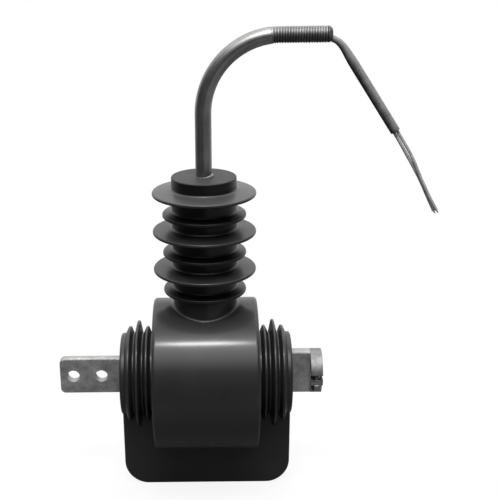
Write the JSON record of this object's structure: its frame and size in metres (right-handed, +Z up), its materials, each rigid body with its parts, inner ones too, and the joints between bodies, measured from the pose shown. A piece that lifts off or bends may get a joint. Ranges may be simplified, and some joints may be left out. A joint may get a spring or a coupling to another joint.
{
  "type": "outdoor current transformer",
  "caption": "Outdoor current transformer: resin drum on a flat foot with ribbed bushings, shedded post, bent conduit tube with hanging leads, flat bar terminal and clamp terminal.",
  "frame": {"origin": "on the floor under the post, in the middle of the foot's underside", "axes": "+Z up along the post, +X along the terminals towards the clamp, -Y to the front"},
  "size_m": [0.3821, 0.157, 0.4754],
  "materials": {
    "resin": "dark grey cast resin, glossy",
    "terminal_metal": "blasted plated metal",
    "tube_metal": "drawn steel tube, satin",
    "sealant": "pale sealing bead",
    "dark_plastic": "moulded plastic",
    "sleeve_plastic": "soft insulating sleeve",
    "wire_plastic": "insulated wire",
    "bare_conductor": "cut strands"
  },
  "bodies": {
    "root": {"core_drum": "resin", "foot_slab": "resin", "left_bushing": "resin", "right_bushing": "resin", "post_insulator": "resin", "left_terminal_bar": "terminal_metal", "right_terminal_block": "terminal_metal", "clamp_collar": "terminal_metal", "conduit_tube": "tube_metal", "tube_base_seal": "sealant", "tube_end_bushing": "dark_plastic", "lead_sleeve": "sleeve_plastic", "lead_wire_a": "wire_plastic", "lead_wire_b": "wire_plastic", "lead_end_a": "bare_conductor", "lead_end_b": "bare_conductor"}
  },
  "joints": []
}
